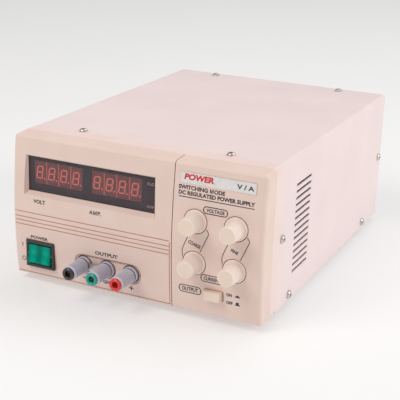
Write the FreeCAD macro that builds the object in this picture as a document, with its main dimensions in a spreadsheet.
import FreeCAD, Part
import math
import os
import types

import Sketcher
from FreeCAD import Placement, Rotation, Vector

# A small bench power supply: a folded steel case, a moulded front in two halves, and the parts inside.
# Every sub-part is drawn in the case frame: X to the right, Y to the back with 0 at the cover's front edge,
# Z up with 0 at the cover's lower edge, and is then moved to the part's own frame, whose origin is on the
# surface the feet stand on, in the middle of the whole object.

DRIVING = {
    # case
    "cover_width": 210.0,
    "cover_depth": 259.7,
    "cover_height": 114.8,
    "gauge": 1.2,
    "bend_radius": 3.0,
    "fit_gap": 0.2,
    "flange_height": 16.0,
    "foot_height": 6.0,
    "foot_radius": 8.0,
    "post_reach": 54.6,
    "rear_reach": 4.6,
    # vent slots
    "slot_count": 14.0,
    "slot_pitch": 5.32,
    "slot_low": 20.6,
    "slot_tall": 2.2,
    "slot_front": 31.8,
    "slot_length": 32.1,
    # screws
    "screw_radius": 1.5,
    "screw_hole": 1.8,
    "head_radius": 3.2,
    "head_height": 2.0,
    "top_screw_x": 62.8,
    "top_screw_front": 4.0,
    "top_screw_rear": 250.8,
    "side_screw_z": 57.0,
    "low_screw_z": 4.9,
    "low_screw_front": 27.0,
    "low_screw_rear": 213.9,
    # moulded front
    "bezel_depth": 12.7,
    "seam_round": 0.5,
    "bezel_lip": 0.3,
    "moulding": 2.6,
    "seam_x": 33.8,
    "seam_gap": 0.6,
    "crease_z": 54.2,
    "crease_y": 32.0,
    "face_radius": 550.0,
    "face_foot_y": 28.5,
    "face_foot_z": 1.7,
    "face_top_y": 28.2,
    "face_top_z": 111.9,
    "groove_width": 0.7,
    "groove_depth": 0.5,
    "groove_pitch": 3.25,
    # display
    "window_left": 94.4,
    "window_right": 19.5,
    "window_low": 68.8,
    "window_high": 100.6,
    "filter_front": 27.6,
    "filter_thick": 1.6,
    "digits_width": 43.3,
    "digits_height": 18.7,
    "digits_deep": 9.6,
    "digits_low": 76.7,
    "volt_left": 88.3,
    "amp_left": 37.3,
    "board_thick": 1.6,
    # rocker switch
    "rocker_x": 80.95,
    "rocker_z": 20.2,
    "frame_width": 25.5,
    "frame_height": 22.2,
    "frame_front": 32.3,
    "rocker_width": 20.1,
    "rocker_opening": 15.8,
    "pivot_y": 31.0,
    "rocker_tilt": 10.0,
    "pin_radius": 1.0,
    # knobs
    "knob_left": 52.4,
    "knob_right": 84.1,
    "knob_low": 40.7,
    "knob_high": 72.6,
    "dish_radius": 9.45,
    "dish_floor": 29.0,
    "skirt_radius": 8.95,
    "knob_front": 47.3,
    "knob_base": 7.5,
    "knob_nose": 6.35,
    "cap_radius": 5.7,
    "shaft_radius": 3.0,
    # output button
    "button_x": 68.4,
    "button_z": 18.4,
    "button_front": 35.0,
    # nameplate
    "plate_left": 38.9,
    "plate_right": 97.4,
    "plate_low": 99.7,
    "plate_high": 107.8,
    # binding posts
    "post_middle_x": -20.9,
    "post_pitch": 20.3,
    "post_z": 20.2,
    "post_hole": 7.2,
    "collar_radius": 6.5,
    "collar_front": 33.0,
    "stud_radius": 2.95,
    "socket_radius": 2.0,
    "post_cap_radius": 5.85,
    "post_cap_front": 52.6,
    "ring_radius": 4.75,
    "ring_bore": 2.45,
    # rear
    "fan_x": -48.0,
    "fan_z": 60.0,
    "fan_size": 60.0,
    "fan_deep": 25.0,
    "fan_bore": 28.6,
    "fan_pitch": 25.0,
    "inlet_x": 66.0,
    "inlet_z": 44.0,
    "inlet_width": 27.6,
    "cavity_width": 24.6,
    "cavity_height": 16.8,
    "drawer_width": 23.0,
    "drawer_height": 9.0,
    # inside
    "board_z": 9.0,
    "board_half_width": 85.0,
    "board_front": 26.0,
    "board_rear": 222.0,
}

doc = FreeCAD.newDocument("bench_power_supply")


class Size:
    """A length that carries its value and the sheet expression that gives it."""

    def __init__(self, value, text):
        self.value = value
        self.text = text

    def __add__(self, other):
        return Size(self.value + number(other), f"({self.text} + {words(other)})")

    def __sub__(self, other):
        return Size(self.value - number(other), f"({self.text} - {words(other)})")

    def __mul__(self, other):
        return Size(self.value * number(other), f"({self.text} * {words(other)})")

    def __truediv__(self, other):
        return Size(self.value / number(other), f"({self.text} / {words(other)})")

    def __radd__(self, other):
        return self + other

    def __rsub__(self, other):
        return -self + other

    def __rmul__(self, other):
        return self * other

    def __neg__(self):
        return Size(-self.value, f"(0 - {self.text})")


def number(size):
    return size.value if isinstance(size, Size) else float(size)


def words(size):
    return size.text if isinstance(size, Size) else repr(float(size))


def make_sheet():
    sheet = doc.addObject("Spreadsheet::Sheet", "Dims")
    sizes = {}
    for row, (alias, value) in enumerate(DRIVING.items(), start=1):
        sheet.set(f"A{row}", alias)
        sheet.set(f"B{row}", str(value))
        sheet.setAlias(f"B{row}", alias)
        sizes[alias] = Size(value, f"Dims.{alias}")
    doc.recompute()
    return types.SimpleNamespace(**sizes)


d = make_sheet()

HALF_WIDTH = d.cover_width / 2
INNER_HALF = HALF_WIDTH - d.gauge - d.fit_gap
INNER_TOP = d.cover_height - d.gauge - d.fit_gap
FRONT_EDGE = (d.post_reach - d.cover_depth - d.rear_reach) / 2
REAR_FACE = d.cover_depth - 0.5
MID_SEAM_LEFT = d.seam_x - d.seam_gap / 2
MID_SEAM_RIGHT = d.seam_x + d.seam_gap / 2
POSTS = {"negative": -1, "ground": 0, "positive": 1}
KNOBS = {
    "voltage_coarse": (d.knob_left, d.knob_high),
    "voltage_fine": (d.knob_right, d.knob_high),
    "current_coarse": (d.knob_left, d.knob_low),
    "current_fine": (d.knob_right, d.knob_low),
}
AXES = {
    "X": Rotation(Vector(0, 1, 0), 90),
    "Y": Rotation(Vector(1, 0, 0), -90),
    "Z": Rotation(),
}
NODES = []


# Document helpers


def assign(thing, **sizes):
    """Sets each property, and binds it to the sheet where its size comes from there."""
    for name, size in sizes.items():
        setattr(thing, name, number(size))
        if isinstance(size, Size):
            thing.setExpression(name, size.text)


def put(thing, x, y, z, turn=Rotation()):
    thing.Placement = Placement(Vector(number(x), number(y), number(z)), turn)
    for letter, size in zip("xyz", (x, y, z)):
        if isinstance(size, Size):
            thing.setExpression(f"Placement.Base.{letter}", size.text)
    return thing


def block(x, y, z):
    """A box between two corners on each axis."""
    thing = doc.addObject("Part::Box", "Block")
    assign(thing, Length=x[1] - x[0], Width=y[1] - y[0], Height=z[1] - z[0])
    return put(thing, x[0], y[0], z[0])


def rod(axis, x, y, z, radius, length):
    """A cylinder that starts at a point and runs along an axis."""
    thing = doc.addObject("Part::Cylinder", "Rod")
    assign(thing, Radius=radius, Height=length)
    return put(thing, x, y, z, AXES[axis])


def taper(axis, x, y, z, start, end, length):
    thing = doc.addObject("Part::Cone", "Taper")
    assign(thing, Radius1=start, Radius2=end, Height=length)
    return put(thing, x, y, z, AXES[axis])


def hoop(axis, x, y, z, radius, thickness):
    thing = doc.addObject("Part::Torus", "Hoop")
    assign(thing, Radius1=radius, Radius2=thickness)
    return put(thing, x, y, z, AXES[axis])


def prism(axis, x, y, z, sides, radius, length):
    thing = doc.addObject("Part::Prism", "Prism")
    thing.Polygon = sides
    assign(thing, Circumradius=radius, Height=length)
    return put(thing, x, y, z, AXES[axis])


def frustum(front_x, front_z, rear_x, rear_z, y):
    """A solid between a rectangle at the front y and another at the rear y."""
    thing = doc.addObject("Part::Wedge", "Frustum")
    assign(thing, Ymin=y[0], Ymax=y[1], Xmin=front_x[0], Xmax=front_x[1], Zmin=front_z[0], Zmax=front_z[1])
    assign(thing, X2min=rear_x[0], X2max=rear_x[1], Z2min=rear_z[0], Z2max=rear_z[1])
    return thing


def group(*things):
    thing = doc.addObject("Part::Compound", "Group")
    thing.Links = list(things)
    return thing


def fuse(*things):
    thing = doc.addObject("Part::MultiFuse", "Fused")
    thing.Shapes = list(things)
    return thing


def cut(base, *tools):
    thing = doc.addObject("Part::Cut", "Cut")
    thing.Base = base
    thing.Tool = tools[0] if len(tools) == 1 else fuse(*tools)
    return thing


def common(first, second):
    thing = doc.addObject("Part::Common", "Common")
    thing.Base = first
    thing.Tool = second
    return thing


def edges_where(shape, test, along=None):
    """Names of the edges whose ends all pass the test, and which may have to run along one axis."""
    names = []
    for index, edge in enumerate(shape.Edges, start=1):
        ends = [vertex.Point for vertex in edge.Vertexes]
        span = ends[-1] - ends[0]
        reach = {"X": span.x, "Y": span.y, "Z": span.z}
        runs = along is None or abs(abs(reach[along]) - edge.Length) < 0.001
        if runs and all(test(end) for end in ends):
            names.append(f"Edge{index}")
    return names


def rounded(base, radius, test):
    """A Part fillet on the chosen edges of a primitive or a boolean."""
    doc.recompute()
    thing = doc.addObject("Part::Fillet", "Rounded")
    thing.Base = base
    value = number(radius)
    thing.Edges = [(int(name[4:]), value, value) for name in edges_where(base.Shape, test)]
    return thing


def node(name, *things):
    """Names a finished sub-part and moves it from the case frame to the part's frame."""
    single = things[0]
    keeps_place = len(things) == 1 and single.TypeId not in ("Part::Box", "Part::Cylinder", "Part::Compound")
    whole = single if keeps_place else group(*things)
    whole.Label = name
    put(whole, 0, FRONT_EDGE, d.foot_height)
    NODES.append(whole)
    return whole


# PartDesign helpers


def new_body(name):
    body = doc.addObject("PartDesign::Body", name)
    body.Label = name
    return body


def new_sketch(body, role, offset=0):
    """A sketch on one of the body's origin planes. XZ sketches face the front, so their normal is -Y."""
    sketch = body.newObject("Sketcher::SketchObject", "Sketch")
    plane = next(item for item in body.Origin.OriginFeatures if item.Role == role)
    sketch.AttachmentSupport = [(plane, "")]
    sketch.MapMode = "FlatFace"
    sketch.AttachmentOffset = Placement(Vector(0, 0, number(offset)), Rotation())
    if isinstance(offset, Size):
        sketch.setExpression("AttachmentOffset.Base.z", offset.text)
    return sketch


def pin_point(sketch, geometry, position, x, y):
    """Holds one point of the geometry at a place measured from the sketch's origin."""
    for kind, size in (("DistanceX", x), ("DistanceY", y)):
        index = sketch.addConstraint(Sketcher.Constraint(kind, -1, 1, geometry, position, number(size)))
        if isinstance(size, Size):
            sketch.setExpression(f"Constraints[{index}]", size.text)


def arc_edge(start, end, radius):
    """The shorter arc between two points, anticlockwise for a positive radius."""
    chord = end - start
    sign = 1 if radius > 0 else -1
    rise = math.sqrt(radius * radius - (chord.Length / 2) ** 2)
    side = Vector(-chord.y, chord.x, 0).normalize() * (rise * sign)
    centre = (start + end) / 2 + side
    angles = [math.atan2(p.y - centre.y, p.x - centre.x) for p in (start, end)]
    if radius < 0:
        angles.reverse()
    circle = Part.Circle(centre, Vector(0, 0, 1), abs(radius))
    return Part.ArcOfCircle(circle, angles[0], angles[1])


def outline(sketch, points):
    """A closed outline. A third value on a point is the radius of the edge that arrives at it."""
    places = [Vector(number(p[0]), number(p[1]), 0) for p in points]
    edges = []
    for index in range(len(points)):
        target = (index + 1) % len(points)
        radius = points[target][2] if len(points[target]) > 2 else None
        if radius is None:
            shape = Part.LineSegment(places[index], places[target])
            edges.append((sketch.addGeometry(shape, False), 1, 2))
            continue
        shape = arc_edge(places[index], places[target], number(radius))
        geometry = sketch.addGeometry(shape, False)
        bound = sketch.addConstraint(Sketcher.Constraint("Radius", geometry, abs(number(radius))))
        size = radius if number(radius) > 0 else -radius
        if isinstance(size, Size):
            sketch.setExpression(f"Constraints[{bound}]", size.text)
        edges.append((geometry, 1, 2) if number(radius) > 0 else (geometry, 2, 1))
    for index, point in enumerate(points):
        before = edges[index - 1]
        here = edges[index]
        sketch.addConstraint(Sketcher.Constraint("Coincident", before[0], before[2], here[0], here[1]))
        pin_point(sketch, here[0], here[1], point[0], point[1])


def rectangle(sketch, x, y):
    outline(sketch, [(x[0], y[0]), (x[1], y[0]), (x[1], y[1]), (x[0], y[1])])


def circle(sketch, x, y, radius):
    shape = Part.Circle(Vector(number(x), number(y), 0), Vector(0, 0, 1), number(radius))
    geometry = sketch.addGeometry(shape, False)
    bound = sketch.addConstraint(Sketcher.Constraint("Radius", geometry, number(radius)))
    if isinstance(radius, Size):
        sketch.setExpression(f"Constraints[{bound}]", radius.text)
    pin_point(sketch, geometry, 3, x, y)


def pad(body, sketch, length, backwards=False):
    feature = body.newObject("PartDesign::Pad", "Pad")
    feature.Profile = sketch
    assign(feature, Length=length)
    feature.Reversed = backwards
    doc.recompute()
    return feature


def pocket(body, sketch, length=None, backwards=False, middle=False):
    """Cuts to a depth, or through everything, and stops if it removed nothing."""
    before = body.Shape.Volume
    feature = body.newObject("PartDesign::Pocket", "Pocket")
    feature.Profile = sketch
    if length is None:
        feature.Type = "ThroughAll"
    else:
        assign(feature, Length=length)
    feature.Reversed = backwards
    if middle:
        feature.SideType = "Symmetric"
    doc.recompute()
    if body.Shape.Volume > before - 0.01:
        raise RuntimeError(f"{body.Label}: a pocket removed nothing")
    return feature


def fillet(body, radius, test, along=None):
    base = body.Tip
    names = edges_where(base.Shape, test, along)
    feature = body.newObject("PartDesign::Fillet", "Fillet")
    feature.Base = (base, names)
    assign(feature, Radius=radius)
    doc.recompute()
    if not names or "Invalid" in feature.State:
        raise RuntimeError(f"{body.Label}: a fillet of {len(names)} edges failed")
    return feature


def turned(name, points, x, y, z):
    """A body of revolution about a line along Y. Points are (radius, distance towards the front)."""
    body = new_body(name)
    sketch = new_sketch(body, "YZ_Plane")
    outline(sketch, [(-forward, radius) for radius, forward in points])
    feature = body.newObject("PartDesign::Revolution", "Revolution")
    feature.Profile = sketch
    feature.ReferenceAxis = (sketch, ["H_Axis"])
    feature.Angle = 360
    doc.recompute()
    put(body, x, y + FRONT_EDGE, z + d.foot_height)
    NODES.append(body)
    return body


def seat_body(body):
    put(body, 0, FRONT_EDGE, d.foot_height)
    NODES.append(body)
    return body


# Sheet-metal case


def near(value, target):
    return abs(value - number(target)) < 0.01


def side_screw_places():
    return [
        (d.low_screw_front, d.low_screw_z),
        (d.low_screw_rear, d.low_screw_z),
        (d.top_screw_front + 1.9, d.side_screw_z),
        (d.top_screw_rear + 1.5, d.side_screw_z),
    ]


def top_screw_places():
    return [(side * d.top_screw_x, y) for side in (-1, 1) for y in (d.top_screw_front, d.top_screw_rear)]


def top_cover():
    body = new_body("top_cover")
    height = d.cover_height
    inner = HALF_WIDTH - d.gauge
    roof = height - d.gauge
    section = new_sketch(body, "XZ_Plane")
    outline(
        section,
        [
            (-HALF_WIDTH, 0),
            (-inner, 0),
            (-inner, roof),
            (inner, roof),
            (inner, 0),
            (HALF_WIDTH, 0),
            (HALF_WIDTH, height),
            (-HALF_WIDTH, height),
        ],
    )
    pad(body, section, d.cover_depth, backwards=True)
    fillet(body, d.bend_radius, lambda p: near(p.z, height) and near(abs(p.x), HALF_WIDTH), "Y")
    fillet(body, d.bend_radius - d.gauge, lambda p: near(p.z, roof) and near(abs(p.x), inner), "Y")

    slot = new_sketch(body, "YZ_Plane")
    rectangle(slot, (d.slot_front, d.slot_front + d.slot_length), (d.slot_low, d.slot_low + d.slot_tall))
    first = pocket(body, slot, middle=True)
    row = body.newObject("PartDesign::LinearPattern", "Slots")
    row.Originals = [first]
    row.Direction = (slot, ["V_Axis"])
    row.Occurrences = int(d.slot_count.value)
    row.setExpression("Occurrences", d.slot_count.text)
    assign(row, Length=d.slot_pitch * (d.slot_count - 1))
    body.Tip = row
    doc.recompute()

    sides = new_sketch(body, "YZ_Plane")
    for y, z in side_screw_places():
        circle(sides, y, z, d.screw_hole)
    pocket(body, sides, middle=True)
    top = new_sketch(body, "XY_Plane", height)
    for x, y in top_screw_places():
        circle(top, x, y, d.screw_hole)
    pocket(body, top, d.gauge * 2)
    return seat_body(body)


def foot_places():
    x = HALF_WIDTH - 27
    return [(side * x, y) for side in (-1, 1) for y in (d.low_screw_front - 7, d.low_screw_rear + 20)]


def standoff_places():
    x = d.board_half_width - 5
    return [(side * x, y) for side in (-1, 1) for y in (d.board_front + 6, d.board_rear - 6)]


def bottom_chassis():
    """Floor pan with two side flanges that lie inside the cover."""
    body = new_body("bottom_chassis")
    outer = INNER_HALF
    inner = outer - d.gauge
    section = new_sketch(body, "XZ_Plane", -1)
    points = [
        (-outer, 0),
        (outer, 0),
        (outer, d.flange_height),
        (inner, d.flange_height),
        (inner, d.gauge),
        (-inner, d.gauge),
        (-inner, d.flange_height),
        (-outer, d.flange_height),
    ]
    outline(section, points)
    pad(body, section, d.cover_depth - 3, backwards=True)
    fillet(body, d.bend_radius / 2, lambda p: near(p.z, 0) and near(abs(p.x), outer), "Y")
    sides = new_sketch(body, "YZ_Plane")
    for y, z in side_screw_places()[:2]:
        circle(sides, y, z, d.screw_radius + 0.05)
    pocket(body, sides, middle=True)
    floor = new_sketch(body, "XY_Plane")
    for x, y in foot_places() + standoff_places():
        circle(floor, x, y, d.screw_radius + 0.05)
    pocket(body, floor, d.gauge * 2, backwards=True)
    return seat_body(body)


def fan_screw_places():
    return [(d.fan_x + a * d.fan_pitch, d.fan_z + b * d.fan_pitch) for a in (-1, 1) for b in (-1, 1)]


def inlet_screw_places():
    return [(d.inlet_x + side * 20, d.inlet_z) for side in (-1, 1)]


def rear_panel():
    """Flanged plate that closes the back."""
    body = new_body("rear_panel")
    outer = INNER_HALF
    low = d.gauge + d.fit_gap
    top = INNER_TOP
    plate = new_sketch(body, "XZ_Plane", -(REAR_FACE - d.gauge))
    rectangle(plate, (-outer, outer), (low, top))
    pad(body, plate, d.gauge, backwards=True)
    flange = new_sketch(body, "XZ_Plane", -(REAR_FACE - d.gauge))
    inner = outer - d.gauge
    under = top - d.gauge
    foot = d.flange_height + 1
    points = [
        (-outer, foot),
        (-inner, foot),
        (-inner, under),
        (inner, under),
        (inner, foot),
        (outer, foot),
        (outer, top),
        (-outer, top),
    ]
    outline(flange, points)
    pad(body, flange, 14)
    fillet(body, d.bend_radius - d.gauge, lambda p: near(abs(p.x), outer) and near(p.z, top), "Y")
    holes = new_sketch(body, "XZ_Plane")
    circle(holes, d.fan_x, d.fan_z, d.fan_bore)
    for x, z in fan_screw_places() + inlet_screw_places():
        circle(holes, x, z, d.screw_hole)
    half = d.inlet_width / 2 + 0.2
    rectangle(holes, (d.inlet_x - half, d.inlet_x + half), (d.inlet_z - 15.2, d.inlet_z + 15.2))
    pocket(body, holes)
    slots = new_sketch(body, "XZ_Plane")
    rectangle(slots, (26, 90), (84, 86))
    first = pocket(body, slots)
    row = body.newObject("PartDesign::LinearPattern", "RearSlots")
    row.Originals = [first]
    row.Direction = (slots, ["V_Axis"])
    row.Length = 15
    row.Occurrences = 4
    body.Tip = row
    doc.recompute()
    sides = new_sketch(body, "YZ_Plane")
    circle(sides, d.top_screw_rear + 1.5, d.side_screw_z, d.screw_radius + 0.05)
    pocket(body, sides, middle=True)
    roof = new_sketch(body, "XY_Plane", d.cover_height)
    for x, y in top_screw_places():
        if number(y) > 100:
            circle(roof, x, y, d.screw_radius + 0.05)
    pocket(body, roof, 5)
    return seat_body(body)


# Moulded front


def bezel_frame():
    """Frame between the cover and the two front mouldings, with a web and a skirt inside the cover."""
    body = new_body("bezel_frame")
    outer = HALF_WIDTH + d.bezel_lip
    top = d.cover_height + d.bezel_lip
    low = -d.bezel_lip
    wall = d.moulding
    band = new_sketch(body, "XZ_Plane")
    rectangle(band, (-outer, outer), (low, top))
    rectangle(band, (-outer + wall, outer - wall), (low + wall, top - wall))
    pad(body, band, d.bezel_depth)
    corner = d.bend_radius + d.bezel_lip
    fillet(body, corner, lambda p: near(abs(p.x), outer) and (near(p.z, top) or near(p.z, low)), "Y")
    front = -d.bezel_depth
    fillet(body, d.seam_round, lambda p: near(p.y, front) and (near(abs(p.x), outer) or near(p.z, top)))
    web = new_sketch(body, "XZ_Plane", 5.5)
    rectangle(web, (-outer + 1, outer - 1), (low + 1, top - 1))
    rectangle(web, (-HALF_WIDTH + 7, MID_SEAM_LEFT - 6), (7, d.cover_height - 8))
    rectangle(web, (MID_SEAM_RIGHT + 6, HALF_WIDTH - 7), (7, d.cover_height - 8))
    pad(body, web, 2.5)
    skirt = new_sketch(body, "XZ_Plane")
    side = INNER_HALF
    roof = INNER_TOP
    points = [
        (-side, d.flange_height + 1),
        (-side + 2, d.flange_height + 1),
        (-side + 2, roof - 2),
        (side - 2, roof - 2),
        (side - 2, d.flange_height + 1),
        (side, d.flange_height + 1),
        (side, roof),
        (-side, roof),
    ]
    outline(skirt, points)
    pad(body, skirt, 11, backwards=True)
    fillet(body, d.bend_radius - d.gauge, lambda p: near(abs(p.x), side) and near(p.z, roof), "Y")
    sides = new_sketch(body, "YZ_Plane")
    circle(sides, d.top_screw_front + 1.9, d.side_screw_z, d.screw_radius + 0.05)
    pocket(body, sides, middle=True)
    holes = new_sketch(body, "XY_Plane", d.cover_height - d.gauge)
    for x, y in top_screw_places():
        if number(y) < 100:
            circle(holes, x, y, d.screw_radius + 0.05)
    pocket(body, holes, 5)
    return seat_body(body)


def face_points(setback, inset=0):
    """The front's side outline, from the lower rear corner forwards and up. Y is negative to the front."""
    low = -d.bezel_lip + inset
    top = d.cover_height + d.bezel_lip - inset
    rear = -d.bezel_depth - 0.1 + setback
    return [
        (rear, low),
        (-d.face_foot_y + 1.6 + setback, d.face_foot_z - 1.2 + inset),
        (-d.face_foot_y + 0.2 + setback, d.face_foot_z + inset, -1.6),
        (-d.crease_y + setback, d.crease_z, -d.face_radius),
        (-d.face_top_y + setback, d.face_top_z - inset, -d.face_radius),
        (-d.face_top_y + 2.4 + setback, d.face_top_z + 2.3 - inset, -2.5),
        (rear, top),
    ]


def front_blank(name, x, setback=0, inset=0):
    """A solid block of the front's side outline between two places across the front."""
    body = new_body(name)
    sketch = new_sketch(body, "YZ_Plane", x[0])
    outline(sketch, face_points(setback, inset))
    pad(body, sketch, x[1] - x[0])
    return body


def hollow_front(name, x, outer_side):
    """Moulded shell: the blank, rounded along its outer edge, with its back hollowed out."""
    body = front_blank(name, x)
    edge = number(outer_side)
    fillet(body, 3.0, lambda p: near(p.x, edge) and p.y < -13.5 and p.z > 0.6)
    wall = d.moulding
    back = new_sketch(body, "YZ_Plane", x[0] + wall)
    outline(back, face_points(wall, wall))
    pocket(body, back, x[1] - x[0] - wall * 2, backwards=True)
    return body


def groove_strip(x, z):
    """A bar through the front's surface, to be trimmed to the groove's depth."""
    return block(x, (-40, -20), z)


def stadium(x, z, radius):
    """A bar with half-round ends, along Y through the front's surface."""
    middle = (z[0] + z[1]) / 2
    ends = [rod("Y", place, -40, middle, radius, 20) for place in (x[0] + radius, x[1] - radius)]
    return fuse(block((x[0] + radius, x[1] - radius), (-40, -20), z), *ends)


def meter_grooves():
    """Grooves of the left half: one on the crease, three below it, a border round the lower panel and a ring
    round the posts."""
    width = d.groove_width
    left = -HALF_WIDTH + 1.2
    right = MID_SEAM_LEFT - 1.6
    base = d.face_foot_z + 1.2
    bars = [groove_strip((left, right), (d.crease_z - width, d.crease_z))]
    for index in range(3):
        z = d.crease_z - 4.85 - d.groove_pitch * index
        bars.append(groove_strip((left, right), (z, z + width)))
    bars.append(groove_strip((right, right + width), (base, d.crease_z - 1.5)))
    bars.append(groove_strip((left - width, left), (base, d.crease_z - 1.5)))
    bars.append(groove_strip((left - width, right + width), (base - width, base)))
    low = d.post_z - 7.4
    high = d.post_z + 7.4
    start = d.post_middle_x - 28.1
    end = d.post_middle_x + 28.1
    outer = stadium((start, end), (low, high), 7.4)
    inner = stadium((start + width, end - width), (low + width, high - width), 7.4 - width)
    ring = cut(outer, inner)
    skin = cut(
        block((-120, 120), (-60, -5), (-5, 125)),
        front_blank("GrooveFloor", (-119, 119), setback=d.groove_depth),
    )
    return common(fuse(*bars, ring), skin)


def meter_fascia():
    x = (-HALF_WIDTH - d.bezel_lip, MID_SEAM_LEFT)
    shell = hollow_front("MeterShell", x, x[0])
    frame_x = (-d.window_left - 3, d.window_right + 3)
    frame_z = (d.window_low - 2.4, d.window_high + 2.4)
    seat = common(
        block(frame_x, (-40, -d.filter_front), frame_z),
        front_blank("SeatBlank", (-100, 30), setback=0.6),
    )
    opening = frustum(
        (-d.window_left - 2.4, d.window_right + 2.6),
        (d.window_low - 2.9, d.window_high + 2.5),
        (-d.window_left + 1.7, d.window_right - 2.2),
        (d.window_low + 2.2, d.window_high - 2.0),
        (-35.2, -d.filter_front + 0.1),
    )
    behind = block((-d.window_left - 1, d.window_right + 1), (-d.filter_front, -14),
                   (d.window_low - 0.4, d.window_high + 0.4))
    half = d.frame_width / 2 - 0.8
    tall = d.frame_height / 2 - 0.8
    switch = block((-d.rocker_x - half, -d.rocker_x + half), (-40, -15),
                   (d.rocker_z - tall, d.rocker_z + tall))
    flange = block(
        (-d.rocker_x - d.frame_width / 2 - 0.1, -d.rocker_x + d.frame_width / 2 + 0.1),
        (-40, -d.frame_front + 2.9),
        (d.rocker_z - d.frame_height / 2 - 0.1, d.rocker_z + d.frame_height / 2 + 0.1),
    )
    posts = [
        rod("Y", d.post_middle_x + step * d.post_pitch, -40, d.post_z, d.post_hole, 20)
        for step in POSTS.values()
    ]
    bosses = [
        rod("Y", x_place, -29.5, z_place, 2.6, 5.3)
        for x_place, z_place in terminal_screw_places()
    ]
    return node("meter_fascia",
                cut(fuse(shell, seat, *bosses), opening, behind, switch, flange, meter_grooves(),
                                    *posts, *terminal_screw_shafts(0.05)))


def terminal_screw_places():
    return [(d.post_middle_x - 33, d.post_z), (d.post_middle_x + 33, d.post_z)]


def terminal_screw_shafts(extra):
    return [rod("Y", x, -28.3, z, 1.2 + extra, 8) for x, z in terminal_screw_places()]


def control_fascia():
    x = (MID_SEAM_RIGHT, HALF_WIDTH + d.bezel_lip)
    shell = hollow_front("ControlShell", x, x[1])
    cups = [rod("Y", kx, -30, kz, d.dish_radius + 1.6, 30 - d.dish_floor + 1.5) for kx, kz in KNOBS.values()]
    dishes = [rod("Y", kx, -40, kz, d.dish_radius, 40 - d.dish_floor) for kx, kz in KNOBS.values()]
    bores = [rod("Y", kx, -30, kz, d.shaft_radius + 1, 10) for kx, kz in KNOBS.values()]
    button = block((d.button_x - 7.5, d.button_x + 7.5), (-40, -20), (d.button_z - 3.95, d.button_z + 3.95))
    bosses = []
    pilots = []
    for bx, bz in control_screw_places():
        bosses.append(rod("Y", bx, -29.5, bz, 2.8, 15.4))
        pilots.append(rod("Y", bx, -24, bz, 1.25, 11))
    body = cut(fuse(shell, *cups, *bosses), *dishes, *bores, button, nameplate_solid(0.08), *pilots)
    return node("control_fascia", body)


def nameplate_solid(extra):
    """Thin plate let into the upper part of the front, leaning back with it."""
    width = d.plate_right - d.plate_left
    tall = d.plate_high - d.plate_low
    thing = doc.addObject("Part::Box", "Plate")
    assign(thing, Length=width + 2 * extra, Width=0.9 + extra, Height=tall + 2 * extra)
    return put(thing, d.plate_left - extra, -29.9, d.plate_low - extra, Rotation(Vector(1, 0, 0), -6.2))


def nameplate():
    return node("nameplate", group(nameplate_solid(0)))


# Display


def display_window():
    x = (-d.window_left - 0.8, d.window_right + 0.8)
    y = (-d.filter_front + 0.05, -d.filter_front + d.filter_thick)
    z = (d.window_low - 0.2, d.window_high + 0.2)
    return node("display_window", block(x, y, z))


def digit_display(name, left):
    """Moulded package with an open rim round its face."""
    front = -d.filter_front + d.filter_thick + 0.2
    x = (-left, -left + d.digits_width)
    z = (d.digits_low, d.digits_low + d.digits_height)
    package = block(x, (front, front + d.digits_deep), z)
    recess = block((x[0] + 0.8, x[1] - 0.8), (front - 1, front + 0.3), (z[0] + 0.8, z[1] - 0.8))
    return node(name, cut(package, recess))


def display_board():
    front = -d.filter_front + d.filter_thick + 0.2 + d.digits_deep
    board = block((-d.window_left + 1, d.window_right - 1), (front, front + d.board_thick),
                  (d.window_low + 0.5, d.window_high - 0.5))
    parts = [block((x, x + 9), (front + d.board_thick, front + d.board_thick + 2.2),
                   (80, 90)) for x in (-80, -55)]
    plug = block((-20, 0), (front + d.board_thick, front + d.board_thick + 6), (82, 88))
    return node("display_board", fuse(board, *parts, plug))


# Rocker switch


def rocker_frame():
    half = d.frame_width / 2
    tall = d.frame_height / 2
    flange = rounded(
        block((-d.rocker_x - half, -d.rocker_x + half), (-d.frame_front, -d.frame_front + 2.8),
              (d.rocker_z - tall, d.rocker_z + tall)),
        0.8,
        lambda p: near(p.y, -d.frame_front),
    )
    barrel = block((-d.rocker_x - half + 1, -d.rocker_x + half - 1), (-d.frame_front + 1, -14),
                   (d.rocker_z - tall + 1, d.rocker_z + tall - 1))
    inner = d.rocker_width / 2 + 0.2
    opening = d.rocker_opening / 2
    cavity = block((-d.rocker_x - inner, -d.rocker_x + inner), (-40, -20),
                   (d.rocker_z - opening, d.rocker_z + opening))
    bevel = frustum(
        (-d.rocker_x - inner - 0.9, -d.rocker_x + inner + 0.9),
        (d.rocker_z - opening - 0.9, d.rocker_z + opening + 0.9),
        (-d.rocker_x - inner, -d.rocker_x + inner),
        (d.rocker_z - opening, d.rocker_z + opening),
        (-d.frame_front - 0.1, -d.frame_front + 0.9),
    )
    pin = rod("X", -d.rocker_x - inner - 1.2, -d.pivot_y, d.rocker_z, d.pin_radius, inner * 2 + 2.4)
    return node("rocker_frame", cut(fuse(flange, barrel), cavity, bevel, pin))


def rocker_pin():
    inner = d.rocker_width / 2 + 0.2
    return node("rocker_pin", rod("X", -d.rocker_x - inner - 1.2, -d.pivot_y, d.rocker_z, d.pin_radius,
                                  inner * 2 + 2.4))


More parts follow.
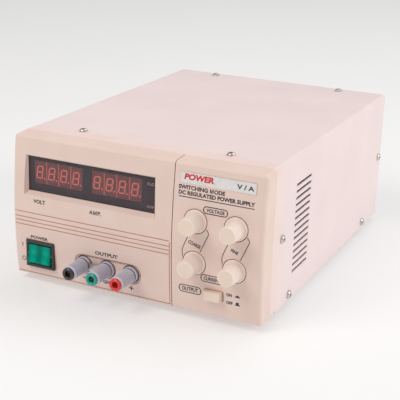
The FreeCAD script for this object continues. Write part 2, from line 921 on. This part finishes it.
def power_rocker():
    """Translucent rocker, tilted so that its upper half is pressed in."""
    body = new_body("power_rocker")
    section = new_sketch(body, "YZ_Plane", -d.rocker_width / 2)
    points = [(-2.5, -7.2), (2.0, -7.0), (5.5, -2.0), (5.5, 2.0), (2.0, 7.0), (-2.5, 7.2), (-1.7, 0)]
    outline(section, points)
    pad(body, section, d.rocker_width)
    edges = new_sketch(body, "YZ_Plane")
    circle(edges, 0, 0, d.pin_radius + 0.05)
    pocket(body, edges, middle=True)
    fillet(body, 0.4, lambda p: p.y < -2.4, "X")
    turn = Rotation(Vector(1, 0, 0), -d.rocker_tilt.value)
    put(body, -d.rocker_x, -d.pivot_y + FRONT_EDGE, d.rocker_z + d.foot_height, turn)
    NODES.append(body)
    return body


def switch_terminals():
    tabs = []
    for x in (-6, 6):
        for z in (-5, 3.5):
            left = -d.rocker_x + x - 0.4
            low = d.rocker_z + z - 2.4
            tab = block((left, left + 0.8), (-14, -5.5), (low, low + 4.8))
            hole = rod("X", left - 1, -8.5, low + 2.4, 0.9, 3)
            tabs.append(cut(tab, hole))
    return node("switch_terminals", group(*tabs))


# Knobs and their potentiometers


def knob(name, x, z):
    front = d.knob_front
    points = [
        (d.shaft_radius, d.dish_floor + 0.5),
        (d.skirt_radius - 0.4, d.dish_floor + 0.5),
        (d.skirt_radius, d.dish_floor + 0.9),
        (d.skirt_radius, 31.4),
        (d.skirt_radius - 0.25, 31.95),
        (d.skirt_radius - 0.75, 32.2),
        (d.knob_base, 32.3),
        (d.knob_nose, front - 0.6),
        (d.knob_nose - 0.15, front - 0.2),
        (d.knob_nose - 0.5, front),
        (d.cap_radius, front),
        (d.cap_radius, front - 1.6),
        (d.shaft_radius, front - 1.6),
    ]
    return turned(name + "_knob", points, x, 0, z)


def knob_cap(name, x, z):
    """Plain disc let into the knob's nose."""
    return node(name + "_cap", group(rod("Y", x, -d.knob_front, z, d.cap_radius - 0.02, 1.4)))


def potentiometer(x, z):
    """Board-mounted potentiometer with a plain bush."""
    body = rounded(block((x - 6, x + 6), (-22, -14.05), (z - 6, z + 6)), 0.6, lambda p: near(p.y, -22))
    bush = rod("Y", x, -27.2, z, 4.3, 6)
    lugs = [block((x + side - 0.5, x + side + 0.5), (-18, -12.6), (z - 9, z - 8)) for side in (-4, 0, 4)]
    arms = [block((x + side - 0.5, x + side + 0.5), (-18, -17), (z - 9, z - 5)) for side in (-4, 0, 4)]
    bore = rod("Y", x, -28, z, d.shaft_radius + 0.05, 7.5)
    return cut(fuse(body, bush, *lugs, *arms), bore)


def potentiometers():
    return node("potentiometers", group(*[potentiometer(x, z) for x, z in KNOBS.values()]))


def shaft(name, x, z):
    length = d.knob_front - 1.6 - 20.8
    flat = block((x - 4, x + 4), (-d.knob_front, -d.knob_front + 6), (z + 2.2, z + 4))
    return node(name + "_shaft", cut(rod("Y", x, -d.knob_front + 1.6, z, d.shaft_radius, length), flat))


def control_screw_places():
    return [(d.seam_x + 8, 22), (HALF_WIDTH - 7, 22), (d.seam_x + 8, 92), (HALF_WIDTH - 7, 92)]


def control_board():
    board = block((d.seam_x + 4, HALF_WIDTH - 3.5), (-14, -14 + d.board_thick), (10, 96))
    holes = [rod("Y", x, -20, z, 1.6, 10) for x, z in control_screw_places()]
    for x, z in KNOBS.values():
        for side in (-4, 0, 4):
            holes.append(block((x + side - 0.6, x + side + 0.6), (-20, -10), (z - 9.1, z - 7.9)))
    chips = [block((60, 76), (-12.4, -10.2), (54, 61)), block((62, 72), (-12.4, -8), (84, 89))]
    return node("control_board", fuse(cut(board, *holes), *chips))


# Output button


def output_button():
    """Rectangular key, drafted towards its face, with a stop flange and a stem."""
    front = -d.button_front
    key = frustum(
        (d.button_x - 6.45, d.button_x + 6.45),
        (d.button_z - 3.55, d.button_z + 3.55),
        (d.button_x - 7.0, d.button_x + 7.0),
        (d.button_z - 3.65, d.button_z + 3.65),
        (front, -26.1),
    )
    soft = rounded(key, 0.5, lambda p: near(p.y, front))
    flange = block((d.button_x - 8.2, d.button_x + 8.2), (-26.2, -25.2), (d.button_z - 4.9, d.button_z + 4.9))
    stem = block((d.button_x - 1.5, d.button_x + 1.5), (-25.7, -19.6), (d.button_z - 1.5, d.button_z + 1.5))
    return node("output_button", fuse(soft, flange, stem))


def output_switch():
    body = block((d.button_x - 5, d.button_x + 5), (-21.4, -14.05), (d.button_z - 4.5, d.button_z + 4.5))
    bore = block((d.button_x - 1.7, d.button_x + 1.7), (-23, -15.6), (d.button_z - 1.7, d.button_z + 1.7))
    return node("output_switch", cut(body, bore))


# Binding posts


def post_x(step):
    return d.post_middle_x + step * d.post_pitch


def post_studs():
    studs = []
    for step in POSTS.values():
        x = post_x(step)
        stud = rod("Y", x, -50.5, d.post_z, d.stud_radius, 35.5)
        socket = rod("Y", x, -51, d.post_z, d.socket_radius, 14.5)
        cross = rod("X", x - 5, -34.9, d.post_z, 1.2, 10)
        mouth = taper("Y", x, -50.6, d.post_z, d.socket_radius + 0.4, d.socket_radius, 0.5)
        studs.append(cut(stud, socket, cross, mouth))
    return node("post_studs", group(*studs))


def post_collars():
    """Insulating collars that pass through the moulding and sit on the terminal plate."""
    collars = []
    for step in POSTS.values():
        x = post_x(step)
        disc = rounded(rod("Y", x, -d.collar_front, d.post_z, d.collar_radius, d.collar_front - 24.05), 0.5,
                       lambda p: near(p.y, -d.collar_front))
        spigot = rod("Y", x, -25, d.post_z, 4.1, 3.2)
        bore = rod("Y", x, -40, d.post_z, d.stud_radius + 0.02, 25)
        collars.append(cut(fuse(disc, spigot), bore))
    return node("post_collars", group(*collars))


def terminal_plate():
    x = (d.post_middle_x - 36.5, d.post_middle_x + 36.5)
    plate = block(x, (-24, -22), (d.post_z - 9, d.post_z + 9))
    holes = [rod("Y", post_x(step), -26, d.post_z, 4.15, 6) for step in POSTS.values()]
    return node("terminal_plate", cut(plate, *holes, *terminal_screw_shafts(0.2)))


def post_nuts():
    """Nut and solder tag behind the plate on each stud."""
    sets = []
    for step in POSTS.values():
        x = post_x(step)
        bore = rod("Y", x, -25, d.post_z, d.stud_radius + 0.02, 20)
        nut = prism("Y", x, -21.6, d.post_z, 6, 5.6, 3.2)
        sets.append(cut(nut, bore))
        tag = fuse(rod("Y", x, -18.3, d.post_z, 4.6, 0.6),
                   block((x - 2, x + 2), (-18.3, -17.7), (d.post_z, d.post_z + 12)))
        sets.append(cut(tag, rod("Y", x, -25, d.post_z, d.stud_radius + 0.02, 20)))
    return node("post_nuts", group(*sets))


def post_cap(name, step):
    """Knurled nut of the post, bored for the coloured ring at its front."""
    rear = 33.95
    front = d.post_cap_front
    bore = d.stud_radius + 0.07
    points = [
        (bore, rear),
        (d.post_cap_radius - 0.7, rear),
        (d.post_cap_radius, rear + 0.6),
        (d.post_cap_radius - 0.15, front - 2.2),
        (d.post_cap_radius - 0.7, front),
        (d.ring_radius + 0.05, front),
        (d.ring_radius + 0.05, 45.9),
        (bore, 45.9),
    ]
    return turned(name + "_post_cap", points, post_x(step), 0, d.post_z)


def post_ring(name, step):
    """Coloured insulating ring that leads the plug into the socket."""
    front = d.post_reach
    points = [
        (d.ring_bore, 50.9),
        (d.stud_radius + 0.07, 50.9),
        (d.stud_radius + 0.07, 46),
        (d.ring_radius, 46),
        (d.ring_radius, front - 0.5),
        (d.ring_radius - 0.5, front),
        (d.ring_bore + 0.5, front),
        (d.ring_bore, front - 0.6),
    ]
    return turned(name + "_post_ring", points, post_x(step), 0, d.post_z)


def shorting_link():
    """Flat link with an eye at each end and a narrow waist, between the negative and the ground post."""
    thick = (-33.75, -33.1)
    left = post_x(-1)
    right = post_x(0)
    eyes = [rod("Y", x, thick[0], d.post_z, 5.9, thick[1] - thick[0]) for x in (left, right)]
    waist = block((left, right), thick, (d.post_z - 3.0, d.post_z + 3.0))
    bores = [rod("Y", x, -36, d.post_z, d.stud_radius + 0.15, 6) for x in (left, right)]
    return node("shorting_link", cut(fuse(*eyes, waist), *bores))


# Rear


def fan_frame():
    half = d.fan_size / 2
    rear = REAR_FACE - d.gauge - 0.05
    front = rear - d.fan_deep
    shell = block((d.fan_x - half, d.fan_x + half), (front, rear), (d.fan_z - half, d.fan_z + half))
    tunnel = rod("Y", d.fan_x, front - 1, d.fan_z, d.fan_bore, d.fan_deep + 2)
    waist = block((d.fan_x - half - 1, d.fan_x + half + 1), (front + 4, rear - 4),
                  (d.fan_z - half - 1, d.fan_z + half + 1))
    waist_core = rod("Y", d.fan_x, front + 3, d.fan_z, d.fan_bore + 1.6, d.fan_deep - 6)
    holes = [rod("Y", x, front - 1, z, 1.7, d.fan_deep + 2) for x, z in fan_screw_places()]
    body = cut(shell, tunnel, cut(waist, waist_core), *holes)
    hub = rod("Y", d.fan_x, front, d.fan_z, 13, 3)
    spokes = [
        block((d.fan_x - 29, d.fan_x + 29), (front, front + 2.5), (d.fan_z - 1.2, d.fan_z + 1.2)),
        block((d.fan_x - 1.2, d.fan_x + 1.2), (front, front + 2.5), (d.fan_z - 29, d.fan_z + 29)),
    ]
    axle_hole = rod("Y", d.fan_x, front - 1, d.fan_z, 1.55, 8)
    return node("fan_frame", cut(fuse(body, hub, *spokes), axle_hole))


def fan_rotor():
    """Hub, seven pitched blades and the axle."""
    rear = REAR_FACE - d.gauge - 2.5
    hub = rounded(rod("Y", d.fan_x, rear - 18, d.fan_z, 13.5, 18), 1.2, lambda p: near(p.y, rear))
    axle = rod("Y", d.fan_x, rear - 22, d.fan_z, 1.5, 8)
    blades = []
    for index in range(7):
        blade = doc.addObject("Part::Box", "Blade")
        assign(blade, Length=15.2, Width=1.4, Height=20)
        blade.Placement = Placement(Vector(12.2, -0.7, -10), Rotation())
        lean = Placement(Vector(), Rotation(Vector(1, 0, 0), 48))
        spin = Placement(Vector(), Rotation(Vector(0, 1, 0), 360 / 7 * index))
        blade.Placement = spin * lean * blade.Placement
        blades.append(blade)
    wheel = common(put(fuse(*blades), d.fan_x, rear - 9, d.fan_z),
                   rod("Y", d.fan_x, rear - 18, d.fan_z, 27.6, 18))
    return node("fan_rotor", fuse(hub, axle, wheel))


def fan_guard():
    """Wire guard: rings, a cross of two bars and four eyes."""
    wire = 0.8
    y = REAR_FACE + wire + 0.1
    rings = [hoop("Y", d.fan_x, y + 1.4, d.fan_z, radius, wire) for radius in (11, 18.5, 26)]
    reach = d.fan_pitch * math.sqrt(2)
    bars = []
    for angle in (45, 135):
        bar = doc.addObject("Part::Cylinder", "Bar")
        assign(bar, Radius=wire, Height=reach * 2)
        turn = Rotation(Vector(0, 1, 0), angle)
        start = turn.multVec(Vector(0, 0, -reach.value))
        put(bar, d.fan_x + start.x, y, d.fan_z + start.z, turn)
        bars.append(bar)
    eyes = [rod("Y", x, REAR_FACE + 0.3, z, 3.6, 1.2) for x, z in fan_screw_places()]
    holes = [rod("Y", x, REAR_FACE - 2, z, 1.7, 8) for x, z in fan_screw_places()]
    return node("fan_guard", cut(fuse(*rings, *bars, *eyes), *holes))


def mains_inlet():
    """Appliance inlet with three pins and a fuse drawer bay below its cavity."""
    half = d.inlet_width / 2
    face = REAR_FACE + 3
    flange = rounded(
        block((d.inlet_x - 25, d.inlet_x + 25), (REAR_FACE + 0.05, face),
              (d.inlet_z - 17.5, d.inlet_z + 17.5)),
        1.0,
        lambda p: near(p.y, face),
    )
    barrel = block((d.inlet_x - half, d.inlet_x + half), (face - 26, face - 1),
                   (d.inlet_z - 15, d.inlet_z + 15))
    cavity_mid = d.inlet_z + 5.3
    wide = d.cavity_width / 2
    tall = d.cavity_height / 2
    cavity = block((d.inlet_x - wide, d.inlet_x + wide), (face - 17, face + 1),
                   (cavity_mid - tall, cavity_mid + tall))
    bay_mid = d.inlet_z - 9.2
    bay = block(
        (d.inlet_x - d.drawer_width / 2 - 0.15, d.inlet_x + d.drawer_width / 2 + 0.15),
        (face - 22, face + 1),
        (bay_mid - d.drawer_height / 2 - 0.15, bay_mid + d.drawer_height / 2 + 0.15),
    )
    holes = [rod("Y", x, REAR_FACE - 1, z, d.screw_hole, 6) for x, z in inlet_screw_places()]
    hollow = cut(fuse(flange, barrel), cavity, bay, *holes)
    return node("mains_inlet", hollow)


def inlet_pins():
    """Three flat contact pins with solder tabs behind the inlet."""
    face = REAR_FACE + 3
    cavity_mid = d.inlet_z + 5.3
    pins = []
    for x, z in ((-7, -2), (0, 3.5), (7, -2)):
        place = d.inlet_x + x
        pin = block((place - 1, place + 1), (face - 16.95, face - 2),
                    (cavity_mid + z - 2, cavity_mid + z + 2))
        tab = block((place - 0.4, place + 0.4), (face - 33, face - 26.05),
                    (cavity_mid + z - 2, cavity_mid + z + 2))
        pins.append(pin)
        pins.append(tab)
    return node("inlet_pins", group(*pins))


def fuse_drawer():
    face = REAR_FACE + 3
    middle = d.inlet_z - 9.2
    half = d.drawer_width / 2
    tall = d.drawer_height / 2
    tray = block((d.inlet_x - half, d.inlet_x + half), (face - 19, face), (middle - tall, middle + tall))
    lip = block((d.inlet_x - 5, d.inlet_x + 5), (face - 0.5, face + 2.1),
                (middle + tall - 2.2, middle + tall - 0.6))
    groove = rod("X", d.inlet_x - 10.4, face - 9, middle, 2.8, 20.8)
    mouth = block((d.inlet_x - 10.4, d.inlet_x + 10.4), (face - 11.8, face - 6.2),
                  (middle, middle + tall + 1))
    return node("fuse_drawer", cut(fuse(tray, lip), groove, mouth))


def line_fuse():
    face = REAR_FACE + 3
    middle = d.inlet_z - 9.2
    glass = rod("X", d.inlet_x - 5, face - 9, middle, 2.3, 10)
    caps = [rod("X", d.inlet_x + start, face - 9, middle, 2.6, 5.1) for start in (-10.1, 5)]
    return node("line_fuse", fuse(glass, *caps))


# Inside


def main_board():
    """Power board with slots left for the parts that stand on it."""
    x = (-d.board_half_width, d.board_half_width)
    board = block(x, (d.board_front, d.board_rear), (d.board_z, d.board_z + d.board_thick))
    holes = [rod("Z", sx, sy, d.board_z - 2, 1.7, 6) for sx, sy in standoff_places()]
    return node("main_board", cut(board, *holes))


def board_standoffs():
    posts = []
    for x, y in standoff_places():
        post = prism("Z", x, y, d.gauge + 0.02, 6, 3.2, d.board_z - d.gauge - 0.04)
        posts.append(cut(post, rod("Z", x, y, 0, 1.2, 20)))
    return node("board_standoffs", group(*posts))


def heatsinks():
    """Two finned extrusions that stand on the board."""
    floor = d.board_z + d.board_thick + 0.02
    sinks = []
    for x, face in ((-52, 1), (36, -1)):
        spine = block((x, x + 3), (60, 170), (floor, floor + 62))
        fins = []
        for index in range(8):
            z = floor + 6 + index * 7
            reach = (x + 2.5, x + 16) if face > 0 else (x - 13, x + 0.5)
            fins.append(block(reach, (60, 170), (z, z + 1.4)))
        sinks.append(fuse(spine, *fins))
    return node("heatsinks", group(*sinks))


def main_transformer():
    floor = d.board_z + d.board_thick + 0.02
    x = -12
    core_low = block((x - 21, x + 21), (96, 136), (floor + 4, floor + 16))
    core_high = block((x - 21, x + 21), (96, 136), (floor + 30, floor + 42))
    legs = [block((x + side, x + side + 7), (100, 132), (floor + 15, floor + 31)) for side in (-21, 14)]
    coil = rounded(block((x - 13, x + 13), (92, 140), (floor + 12, floor + 34)), 4, lambda p: True)
    pins = [block((x + side, x + side + 1.2), (100, 132), (floor, floor + 5)) for side in (-18, 17)]
    return node("main_transformer", fuse(core_low, core_high, coil, *legs, *pins))


def capacitors():
    """Electrolytic capacitors: two for the mains side, four for the output side."""
    floor = d.board_z + d.board_thick + 0.02
    cans = []
    for x, y, radius, height in (
        (-14, 196, 14, 42),
        (20, 196, 14, 42),
        (0, 72, 8, 30),
        (0, 54, 8, 30),
        (70, 120, 8, 30),
        (70, 140, 8, 30),
    ):
        can = rod("Z", x, y, floor, radius, height)
        cans.append(rounded(can, 1.0, lambda p, top=floor + height: near(p.z, top)))
    return node("capacitors", group(*cans))


def chokes():
    floor = d.board_z + d.board_thick + 0.02
    ring = hoop("Z", 68, 82, floor + 7.5, 12, 7.3)
    filter_ring = hoop("X", 66, 190, floor + 17, 10, 6)
    return node("chokes", group(ring, filter_ring))


def tube_along(points, bend, radius):
    """A wire of straight runs joined by tangent arcs."""
    corners = [Vector(*(number(v) for v in point)) for point in points]
    edges = []
    start = corners[0]
    for index in range(1, len(corners) - 1):
        here = corners[index]
        back = (corners[index - 1] - here).normalize()
        ahead = (corners[index + 1] - here).normalize()
        half_turn = (math.pi - back.getAngle(ahead)) / 2
        reach = bend * math.tan(half_turn)
        inward = (back + ahead).normalize()
        first = here + back * reach
        last = here + ahead * reach
        middle = here + inward * (bend / math.cos(half_turn) - bend)
        edges.append(Part.LineSegment(start, first).toShape())
        edges.append(Part.Arc(first, middle, last).toShape())
        start = last
    edges.append(Part.LineSegment(start, corners[-1]).toShape())
    path = Part.Wire(edges)
    direction = corners[1] - corners[0]
    section = Part.Wire(Part.Circle(corners[0], direction, radius).toShape())
    return path.makePipeShell([section], True, False)


def internal_wires():
    """Loose leads inside the case: post leads to the board, and a red loop beside the vent slots."""
    floor = number(d.board_z + d.board_thick) + 0.05
    post = number(d.post_z) + 9
    routes = []
    for step, landing in ((-1, -20), (0, -8), (1, 4)):
        x = number(post_x(step))
        routes.append([(x, -16.9, post), (x, 2, post), (landing, 20, post + 4), (landing, 40, post),
                       (landing, 40, floor)])
    routes.append([(88, -11.8, 66), (96, 18, 62), (97, 40, 51), (95, 30, 34), (80, 40, 26), (80, 40, floor)])
    thing = doc.addObject("Part::Feature", "internal_wires")
    thing.Shape = Part.makeCompound([tube_along(route, 5.0, 1.1) for route in routes])
    thing.Label = "internal_wires"
    put(thing, 0, FRONT_EDGE, d.foot_height)
    NODES.append(thing)
    return thing


# Feet and fasteners


def rubber_feet():
    feet = []
    for x, y in foot_places():
        body = taper("Z", x, y, -d.foot_height, d.foot_radius - 1, d.foot_radius, d.foot_height - 0.02)
        well = rod("Z", x, y, -d.foot_height - 1, 3.4, 4.2)
        bore = rod("Z", x, y, -d.foot_height, d.screw_radius + 0.1, 20)
        feet.append(cut(body, well, bore))
    return node("rubber_feet", group(*feet))


def foot_screws():
    screws = []
    for x, y in foot_places():
        head = rod("Z", x, y, -d.foot_height + 1.2, 3.0, 1.95)
        shank = rod("Z", x, y, -d.foot_height + 3, d.screw_radius, 6.5)
        slot = fuse(block((x - 0.4, x + 0.4), (y - 1.8, y + 1.8), (-6, -4)),
                    block((x - 1.8, x + 1.8), (y - 0.4, y + 0.4), (-6, -4)))
        screws.append(cut(fuse(head, shank), slot))
    return node("foot_screws", group(*screws))


def pan_head(axis, sign, x, y, z, shank):
    """Cross-recessed pan-head screw. It points inwards along an axis from the surface point given."""
    body = new_body("PanHead")
    sketch = new_sketch(body, "XZ_Plane")
    radius = d.head_radius
    height = d.head_height
    points = [
        (0, -shank),
        (d.screw_radius, -shank),
        (d.screw_radius, 0),
        (radius, 0),
        (radius, height * 0.45),
        (radius * 0.62, height, radius * 0.66),
        (0, height),
    ]
    outline(sketch, points)
    feature = body.newObject("PartDesign::Revolution", "Revolution")
    feature.Profile = sketch
    feature.ReferenceAxis = (sketch, ["V_Axis"])
    feature.Angle = 360
    doc.recompute()
    cross = new_sketch(body, "XY_Plane", height)
    arm = 1.9
    web = 0.35
    outline(
        cross,
        [
            (web, web), (web, arm), (-web, arm), (-web, web), (-arm, web), (-arm, -web),
            (-web, -web), (-web, -arm), (web, -arm), (web, -web), (arm, -web), (arm, web),
        ],
    )
    pocket(body, cross, 1.1)
    turns = {
        ("X", 1): Rotation(Vector(0, 1, 0), 90),
        ("X", -1): Rotation(Vector(0, 1, 0), -90),
        ("Y", 1): Rotation(Vector(1, 0, 0), -90),
        ("Z", 1): Rotation(),
    }
    return put(body, x, y, z, turns[(axis, sign)])


def case_screws():
    """Pan-head screws of the cover, of the fan with its guard, and of the mains inlet."""
    gap = 0.02
    screws = [pan_head("Z", 1, x, y, d.cover_height + gap, 6) for x, y in top_screw_places()]
    for side in (-1, 1):
        for y, z in side_screw_places():
            screws.append(pan_head("X", side, side * (HALF_WIDTH + gap), y, z, 5))
    screws += [pan_head("Y", 1, x, REAR_FACE + 1.72, z, 10) for x, z in fan_screw_places()]
    screws += [pan_head("Y", 1, x, REAR_FACE + 3.02, z, 7) for x, z in inlet_screw_places()]
    return node("case_screws", group(*screws))


def board_screws():
    """Screws of the main board, the control board and the terminal plate."""
    screws = []
    for x, y in standoff_places():
        top = d.board_z + d.board_thick + 0.02
        screws.append(fuse(rod("Z", x, y, top, 2.4, 1.8), rod("Z", x, y, top - 5, 1.15, 5.5)))
    for x, z in control_screw_places():
        screws.append(fuse(rod("Y", x, -14 + d.board_thick + 0.02, z, 2.4, 1.8), rod("Y", x, -18, z, 1.2, 6)))
    for x, z in terminal_screw_places():
        screws.append(fuse(rod("Y", x, -21.98, z, 2.3, 1.6), rod("Y", x, -27.5, z, 1.2, 6)))
    return node("board_screws", group(*screws))


def build():
    top_cover()
    bottom_chassis()
    rear_panel()
    bezel_frame()
    meter_fascia()
    control_fascia()
    nameplate()
    display_window()
    digit_display("voltmeter_display", d.volt_left)
    digit_display("ammeter_display", d.amp_left)
    display_board()
    control_board()
    rocker_frame()
    rocker_pin()
    power_rocker()
    switch_terminals()
    for name, (x, z) in KNOBS.items():
        knob(name, x, z)
        knob_cap(name, x, z)
        shaft(name, x, z)
    potentiometers()
    output_button()
    output_switch()
    for name, step in POSTS.items():
        post_cap(name, step)
        post_ring(name, step)
    post_studs()
    post_collars()
    post_nuts()
    terminal_plate()
    shorting_link()
    fan_frame()
    fan_rotor()
    fan_guard()
    mains_inlet()
    inlet_pins()
    fuse_drawer()
    line_fuse()
    main_board()
    board_standoffs()
    heatsinks()
    main_transformer()
    capacitors()
    chokes()
    internal_wires()
    rubber_feet()
    foot_screws()
    case_screws()
    board_screws()


def check():
    """Stops before anything is written if an object failed or a sub-part has no sound shape."""
    doc.recompute()
    failed = []
    for thing in doc.Objects:
        if "Invalid" in thing.State or "Error" in thing.State:
            failed.append(thing.Label)
    if failed:
        raise RuntimeError(f"failed objects: {failed}")
    for thing in NODES:
        if thing.Shape.isNull() or not thing.Shape.isValid() or not thing.Shape.Solids:
            raise RuntimeError(f"{thing.Label}: no sound shape")


def write():
    os.makedirs("parts", exist_ok=True)
    for thing in NODES:
        thing.Shape.exportStep(f"parts/{thing.Label}.step")
    print(f"{len(NODES)} sub-parts written")


build()
check()
write()
